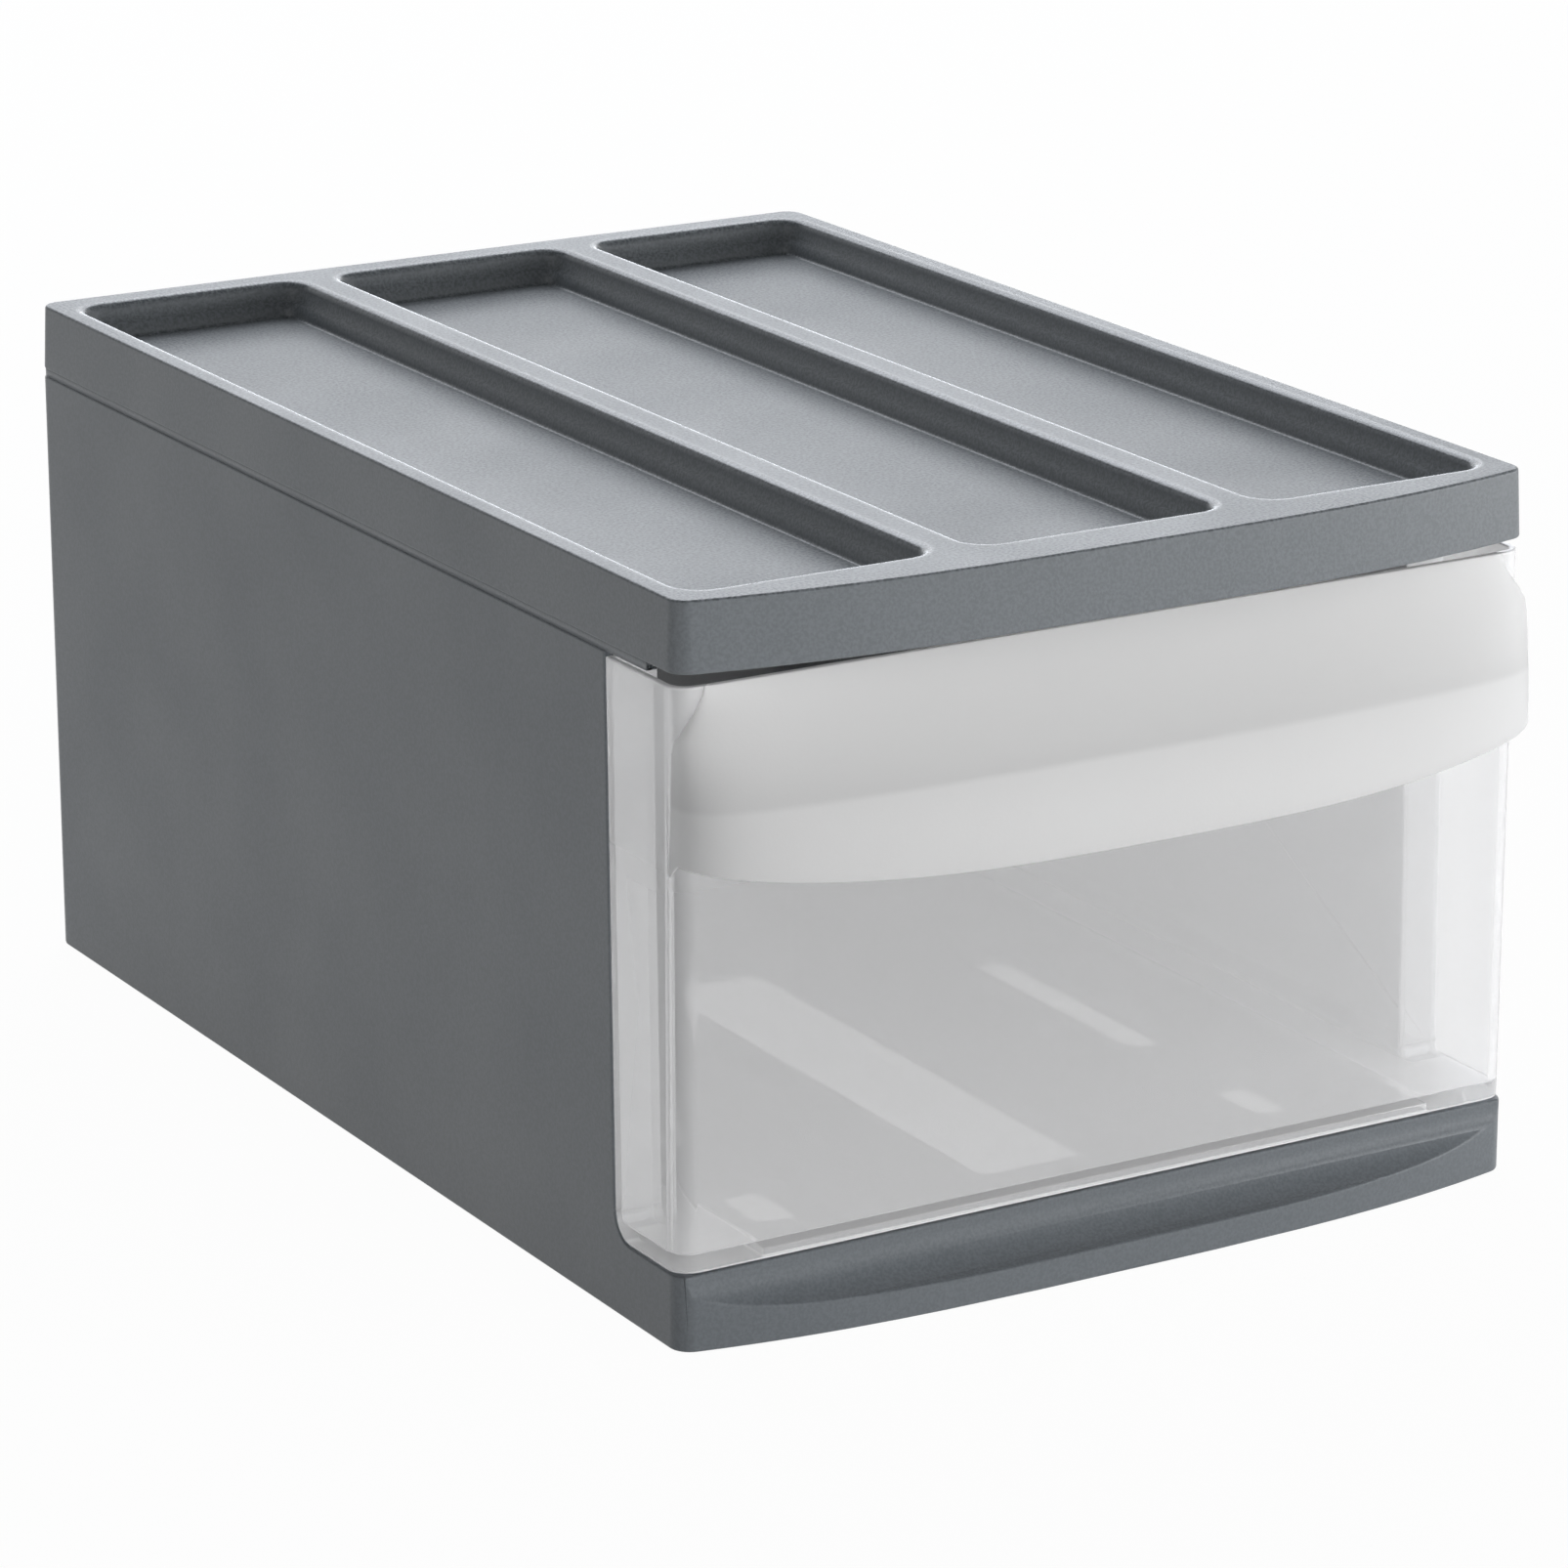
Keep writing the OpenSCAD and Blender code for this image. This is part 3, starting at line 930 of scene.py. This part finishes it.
@dataclass
class Hood:
    """The frosted hood in front of the finger pocket: a bowed wall, whose ends wrap the drawer's corners."""

    plan: Plan
    finish: FrostedStyrene
    wall: float = 2 * MM
    rise: float = 8.5 * MM
    end_reach: float = 10.5 * MM
    # Fullness of the rounded ends: higher is squarer
    end_power: float = 24.0
    # How much closer the columns of points stand towards the ends
    crowding: float = 2.2
    step: float = 8 * MM
    # Share of the height over which the sides step out
    step_share: float = 0.33
    mouth_half: float = 120 * MM
    # How far the hood's end stands proud of the drawer's front, and its gap to it
    proud: float = 0.5 * MM
    gap: float = 0.05 * MM
    # Thickness of the wrapped ends, at the top and at the bottom
    lip_top: float = 1.3 * MM
    lip_low: float = 0.3 * MM
    # How far the lower edge drops along the wrapped end
    hook: float = 4 * MM
    shelf_drop: float = 28.5 * MM
    shelf_half_share: float = 0.969
    # Columns of points on each half of the face and on each wrapped end, and rows down the face
    face_columns: int = 42
    wrap_columns: int = 6
    row_count: int = 14
    shelf_rows: int = 5
    edge_r: float = 0.4 * MM

    # Across: share t of the half width, share w along the wrapped end, height of the hood there
    across_steps = (
        "q = ABSOLUTE s", "u0 = DIVIDE q, Face share", "u = MINIMUM u0, 1.0", "gap_u = SUBTRACT 1.0, u",
        "crowded = POWER gap_u, Crowding", "t = SUBTRACT 1.0, crowded", "past = SUBTRACT q, Face share",
        "w0 = DIVIDE past, Wrap share", "w1 = MAXIMUM w0, 0.0", "w = MINIMUM w1, 1.0",
        "fall = POWER t, Bow power", "low0 = MULTIPLY fall, Rise", "low1 = SUBTRACT Height, low0",
        "low = MULTIPLY_ADD w, Hook, low1",
    )
    # Down: half width at share v of the height, and how far the face stands out
    down_steps = (
        "e0 = DIVIDE v, Step share", "e = MINIMUM e0, 1.0", "e2 = MULTIPLY e, e",
        "e3 = MULTIPLY_ADD e, -2.0, 3.0", "ease = MULTIPLY e2, e3", "narrow = SUBTRACT 1.0, ease",
        "cut = MULTIPLY narrow, Step", "half = SUBTRACT Half width, cut", "up = SUBTRACT 1.0, v",
        "up2 = MULTIPLY up, up", "swell = SUBTRACT 1.0, up2", "full = SUBTRACT 1.0, fall",
        "reach = MULTIPLY_ADD full, Bow, End reach", "r0 = POWER t, End power", "r1 = SUBTRACT 1.0, r0",
        "round = SQRT r1", "o0 = MULTIPLY swell, reach", "o1 = MULTIPLY o0, round", "out = ADD o1, Proud",
        "face_y = SUBTRACT Front, out", "lip = MULTIPLY_ADD v, Lip change, Lip top",
        "end_x = SUBTRACT half, lip", "depth = MULTIPLY v, low", "z = SUBTRACT Top, depth",
        "outer_x = MULTIPLY half, t", "in_half = SUBTRACT half, Wall", "in_x0 = MULTIPLY in_half, t",
        "in_more = SUBTRACT Wall, lip", "inner_x = MULTIPLY_ADD in_more, w, in_x0",
    )
    # Sides: the drawer's rounded corner, at the wrapped end's edge and behind the inner face
    side_steps = (
        "corner_x = SUBTRACT Half width, Corner", "corner_y = ADD Front, Corner",
        "square = MULTIPLY Corner, Corner", "a0 = SUBTRACT end_x, corner_x", "a1 = MAXIMUM a0, 0.0",
        "a2 = MULTIPLY a1, a1", "a3 = SUBTRACT square, a2", "a4 = SQRT a3", "a5 = SUBTRACT corner_y, a4",
        "edge_y = SUBTRACT a5, Gap", "b0 = SUBTRACT inner_x, corner_x", "b1 = MAXIMUM b0, 0.0",
        "b2 = MULTIPLY b1, b1", "b3 = SUBTRACT square, b2", "b4 = SQRT b3", "b5 = SUBTRACT corner_y, b4",
        "inside = LESS_THAN inner_x, Mouth", "free = MULTIPLY_ADD inside, 1.0, b5",
        "limit = SUBTRACT free, Gap", "back0 = SUBTRACT edge_y, face_y",
        "outer_y = MULTIPLY_ADD back0, w, face_y", "in_y0 = ADD face_y, Wall",
        "back1 = SUBTRACT edge_y, in_y0", "in_y1 = MULTIPLY_ADD back1, w, in_y0",
        "inner_y = MINIMUM in_y1, limit",
    )

    def sizes(self) -> dict[str, float]:
        """Gathers the inputs of the hood's trees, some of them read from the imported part.

        Returns:
            Their names and values.
        """
        low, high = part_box("handle_hood")
        columns = self.face_columns + self.wrap_columns
        return {
            "Half width": self.plan.half_w - 2 * self.gap, "Front": self.plan.front,
            "Top": high.z, "Height": high.z - low.z, "Corner": self.plan.corner_r,
            "Bow": self.plan.front - low.y - self.proud - self.end_reach, "Bow power": self.plan.power,
            "Wall": self.wall, "Rise": self.rise, "Hook": self.hook, "Crowding": self.crowding,
            "Step": self.step, "Step share": self.step_share,
            "End reach": self.end_reach, "End power": self.end_power,
            "Proud": self.proud, "Gap": self.gap, "Mouth": self.mouth_half,
            "Lip top": self.lip_top, "Lip change": self.lip_low - self.lip_top,
            "Face share": self.face_columns / columns, "Wrap share": (self.wrap_columns - 1) / columns,
            "Shelf drop": self.shelf_drop, "Shelf": self.shelf_half_share,
        }

    def bowed_wall(self, material: Material) -> Object:
        """Grows the wall: a grid whose rows run down its face and up its inner side.

        Args:
            material: Its material.

        Returns:
            The wall.
        """
        tree, values = form_tree("bowed_wall", self.sizes())
        # Rows down the face, as many up the inner side, and the first row once more
        last_row = 2 * self.row_count + 2
        grid = add(tree, "GeometryNodeMeshGrid",
                   {"Size X": 2.0, "Size Y": float(last_row), "Vertices Y": last_row + 1,
                    "Vertices X": 2 * (self.face_columns + self.wrap_columns) + 1})
        place = add(tree, "GeometryNodeInputPosition")
        split = add(tree, "SeparateXYZ", {"Vector": place}).outputs
        values |= {"s": split["X"], "row0": split["Y"]}
        solved(tree, values, (
            f"row1 = ADD row0, {last_row / 2}", "row = ROUND row1",
            f"back_row = SUBTRACT {last_row - 1.0}, row", "near_row = MINIMUM row, back_row",
            f"row_share = DIVIDE near_row, {self.row_count}", "v = MAXIMUM row_share, 0.0",
            f"late = GREATER_THAN row, {self.row_count + 0.5}",
            f"early = LESS_THAN row, {last_row - 0.5}", "back_side = MULTIPLY late, early",
            "side = SIGN s"))
        solved(tree, values, self.across_steps + self.down_steps + self.side_steps)
        # The inner side's last column, where q is 1, lies on the outer one and so closes the end
        solved(tree, values, (
            "short = LESS_THAN q, 0.999", "inner = MULTIPLY back_side, short",
            "x0 = SUBTRACT inner_x, outer_x", "x1 = MULTIPLY_ADD x0, inner, outer_x",
            "x = MULTIPLY x1, side", "y0 = SUBTRACT inner_y, outer_y",
            "y = MULTIPLY_ADD y0, inner, outer_y"))
        point = add(tree, "CombineXYZ", {"X": values["x"], "Y": values["y"], "Z": values["z"]})
        formed = add(tree, "GeometryNodeSetPosition", {"Geometry": grid, "Position": point})
        closed = add(tree, "GeometryNodeMergeByDistance", {"Geometry": formed, "Distance": self.gap / 2})
        outwards = add(tree, "GeometryNodeFlipFaces", {"Mesh": closed})
        return grown(tree, outwards, material)

    def shelf(self, material: Material) -> Object:
        """Grows the shelf that closes the finger pocket, from the drawer's front to the wall.

        Args:
            material: Its material.

        Returns:
            The shelf.
        """
        tree, values = form_tree("pocket_shelf", self.sizes())
        grid = add(tree, "GeometryNodeMeshGrid",
                   {"Size X": 2.0, "Size Y": 1.0, "Vertices X": 2 * self.face_columns + 1,
                    "Vertices Y": self.shelf_rows})
        place = add(tree, "GeometryNodeInputPosition")
        split = add(tree, "SeparateXYZ", {"Vector": place}).outputs
        values |= {"s0": split["X"], "row0": split["Y"]}
        # The columns stay on the face and end where the hood still stands out by more than its wall
        solved(tree, values, (
            "side = SIGN s0", "s1 = MULTIPLY s0, Face share", "s = MULTIPLY s1, Shelf",
            "back = ADD row0, 0.5"))
        solved(tree, values, self.across_steps)
        solved(tree, values, ("v = DIVIDE Shelf drop, low",))
        solved(tree, values, self.down_steps + self.side_steps)
        solved(tree, values, (
            "x = MULTIPLY inner_x, side", "near = MULTIPLY_ADD Wall, -0.5, inner_y",
            "far = SUBTRACT b5, Gap", "span = SUBTRACT far, near", "y = MULTIPLY_ADD span, back, near",
            "under = ADD Shelf drop, Wall", "floor = SUBTRACT Top, under"))
        point = add(tree, "CombineXYZ", {"X": values["x"], "Y": values["y"], "Z": values["floor"]})
        sheet = add(tree, "GeometryNodeSetPosition", {"Geometry": grid, "Position": point})
        lift = add(tree, "CombineXYZ", {"Z": values["Wall"]})
        plate = add(tree, "GeometryNodeExtrudeMesh",
                    {"Mesh": sheet, "Offset": lift, "Offset Scale": 1.0, "Individual": False})
        under = add(tree, "GeometryNodeFlipFaces", {"Mesh": sheet})
        both = add(tree, "GeometryNodeJoinGeometry", {"Geometry": [plate, under]})
        closed = add(tree, "GeometryNodeMergeByDistance", {"Geometry": both, "Distance": self.gap / 2})
        return grown(tree, closed, material)

    def build(self) -> None:
        """Builds and dresses the hood."""
        material = self.finish.material()
        wall = softened(self.bowed_wall(material), self.edge_r, angle=40)
        hood = joined("hood_moulding", [wall, self.shelf(material)])
        dressed(evened(hood), Body.DRAWER, material, ["handle_hood"])


# ---- studio


def straight(tree: NodeTree) -> Node:
    """Tells rays that look straight at the background, also through clear plastic, with a 1."""
    path = add(tree, "LightPath").outputs
    return add(tree, "Math", (path["Is Camera Ray"], path["Is Transmission Ray"]), operation="MAXIMUM")


def seen(tree: NodeTree) -> Node:
    """Tells rays that see the background, also mirrored, from those that light the object, with a 1."""
    path = add(tree, "LightPath").outputs
    return add(tree, "Math", (straight(tree), path["Is Glossy Ray"]), operation="MAXIMUM")


@dataclass(frozen=True)
class Softbox:
    """A flat lamp that faces the object."""

    name: str
    place: tuple[float, float, float]
    width: float
    height: float
    power: float
    colour: str = "#ffffff"
    aim: tuple[float, float, float] = (0.0, 0.0, 0.1)
    # Whether shiny faces mirror it
    mirrored: bool = True

    def hang(self) -> None:
        """Puts the lamp in the scene."""
        light = bpy.data.lights.new(self.name, "AREA")
        light.energy = self.power
        light.color = linear(self.colour)[:3]
        light.shape = "RECTANGLE"
        light.size = self.width
        light.size_y = self.height
        lamp = bpy.data.objects.new(self.name, light)
        lamp.location = self.place
        lamp.rotation_mode = "QUATERNION"
        lamp.rotation_quaternion = (Vector(self.aim) - Vector(self.place)).to_track_quat("-Z", "Y")
        lamp.visible_camera = False
        lamp.visible_transmission = False
        lamp.visible_glossy = self.mirrored
        bpy.context.scene.collection.objects.link(lamp)


@dataclass
class Studio:
    """A white sweep, soft lamps and the camera."""

    plan: Plan
    floor_half: float = 4.0
    floor_colour: str = "#e4e4e4"
    # Shares of the floor's look that keep shadow, in the open and under the box
    shadow_share: float = 0.03
    under_share: float = 0.62
    under_inset: float = 3 * MM
    # Level of the sky at the horizon and overhead, and how far up that starts
    horizon: float = 0.15
    zenith: float = 0.1
    zenith_z: float = 0.8
    # What shiny faces see of the surround, high up, towards the left and towards the front
    high_share: float = 0.15
    left_share: float = 0.5
    front_share: float = 0.8
    camera_place: tuple[float, float, float] = (-0.8472, -1.4409, 0.6058)
    camera_yaw: float = 0.5352
    camera_pitch: float = -0.3032
    lens: float = 141.7
    clip_start: float = 0.05
    lamps: tuple[Softbox, ...] = (
        Softbox("lamp_back", (0.8, 2.1, 1.3), 2.4, 1.2, 16.5, "#f4f8ff"),
        Softbox("lamp_back_top", (0.4, 1.3, 1.6), 1.6, 1.0, 18.5, "#f4f8ff"),
        Softbox("lamp_back_low", (1.2, 2.2, 0.32), 2.0, 0.3, 8.0, "#f0f6ff"),
        Softbox("lamp_left", (-1.6, -0.7, 0.6), 1.2, 1.2, 3.8),
        Softbox("lamp_low_right", (1.6, -1.1, 0.25), 1.2, 0.4, 12.0),
        Softbox("lamp_low_front", (0.6, -1.8, 0.25), 1.2, 0.4, 16.5, mirrored=False),
    )

    def floor(self) -> None:
        """Lays the floor, which looks white and keeps the object's shadow."""
        bm = bmesh.new()
        half = self.floor_half
        corners = (-half, -half), (half, -half), (half, half), (-half, half)
        bm.faces.new([bm.verts.new((x, y, 0.0)) for x, y in corners])
        floor = finished(bm, "studio_floor")
        material, tree, place = new_material("studio_paper")
        middle_y = (self.plan.front + self.plan.back) / 2
        half_x = self.plan.half_w - self.under_inset
        half_y = (self.plan.back - self.plan.front) / 2 - self.under_inset
        split = add(tree, "SeparateXYZ", {"Vector": place}).outputs
        across = add(tree, "Math", (split["X"], 0.0, half_x), operation="COMPARE")
        along = add(tree, "Math", (split["Y"], middle_y, half_y), operation="COMPARE")
        under = add(tree, "Math", (across, along), operation="MULTIPLY")
        share = add(tree, "MapRange",
                    {"Value": under, "To Min": self.shadow_share, "To Max": self.under_share})
        paper = add(tree, "BsdfDiffuse", {"Color": linear(self.floor_colour)})
        white = add(tree, "Emission", {"Color": WHITE, "Strength": 1.0})
        shadow = add(tree, "MixShader", (share, white, paper))
        surface = add(tree, "MixShader", (seen(tree), paper, shadow))
        add(tree, "OutputMaterial", {"Surface": surface})
        floor.data.materials.append(material)

    def world(self) -> None:
        """Makes a surround that looks white, and that lights the object softly, most from the sides."""
        world = bpy.data.worlds.new("studio")
        world.use_nodes = True
        tree = world.node_tree
        tree.nodes.clear()
        direction = add(tree, "TexCoord").outputs["Generated"]
        axes = add(tree, "SeparateXYZ", {"Vector": direction}).outputs
        sky = add(tree, "MapRange",
                  {"Value": axes["Z"], "From Min": 0.0, "From Max": self.zenith_z,
                   "To Min": self.horizon, "To Max": self.zenith}, interpolation_type="SMOOTHSTEP")
        shine = 1.0
        # For each direction its axis, between which places along it the shine fades, and to what share
        for axis, bright, faded, share in (
            ("Y", 0.1, -0.5, self.front_share), ("X", 0.1, -0.5, self.left_share),
            ("Z", 0.33, 0.6, self.high_share),
        ):
            fade = add(tree, "MapRange",
                       {"Value": axes[axis], "From Min": bright, "From Max": faded,
                        "To Min": 1.0, "To Max": share}, interpolation_type="SMOOTHSTEP")
            shine = add(tree, "Math", (shine, fade), operation="MULTIPLY")
        strength = add(tree, "Math", (straight(tree), shine), operation="MAXIMUM")
        dim = add(tree, "Background", {"Color": WHITE, "Strength": sky})
        white = add(tree, "Background", {"Color": WHITE, "Strength": strength})
        both = add(tree, "MixShader", (seen(tree), dim, white))
        add(tree, "OutputWorld", {"Surface": both})
        bpy.context.scene.world = world

    def camera(self) -> None:
        """Sets the camera up."""
        data = bpy.data.cameras.new("camera")
        data.lens = self.lens
        data.clip_start = self.clip_start
        camera = bpy.data.objects.new("camera", data)
        camera.location = self.camera_place
        camera.rotation_euler = (math.pi / 2 + self.camera_pitch, 0.0, -self.camera_yaw)
        bpy.context.scene.collection.objects.link(camera)
        bpy.context.scene.camera = camera

    def build(self) -> None:
        """Builds the whole studio."""
        bpy.context.scene.view_settings.view_transform = "Standard"
        self.camera()
        self.floor()
        self.world()
        for lamp in self.lamps:
            lamp.hang()


# ---- scene


def main() -> None:
    """Builds the box and its studio."""
    logging.basicConfig(level=logging.INFO, format="%(name)s: %(message)s")
    plan = Plan.of_part()
    Studio(plan).build()
    Housing(GrainedPolypropylene("housing_polypropylene", colour="#4f5559", fleck_and_glint="#7a7f84",
                                 level_share=0.3, grain_depth=0.02 * MM)).build()
    Cover(plan, GrainedPolypropylene("cover_polypropylene"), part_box("top_cover")[1].z).build()
    foot, top = (corner.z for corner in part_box("drawer_tray"))
    Drawer(ClearStyrene("clear_styrene", foot, top)).build()
    Hood(plan, FrostedStyrene("frosted_styrene", top - Hood.shelf_drop - Hood.wall, top)).build()


if __name__ == "__main__":
    main()
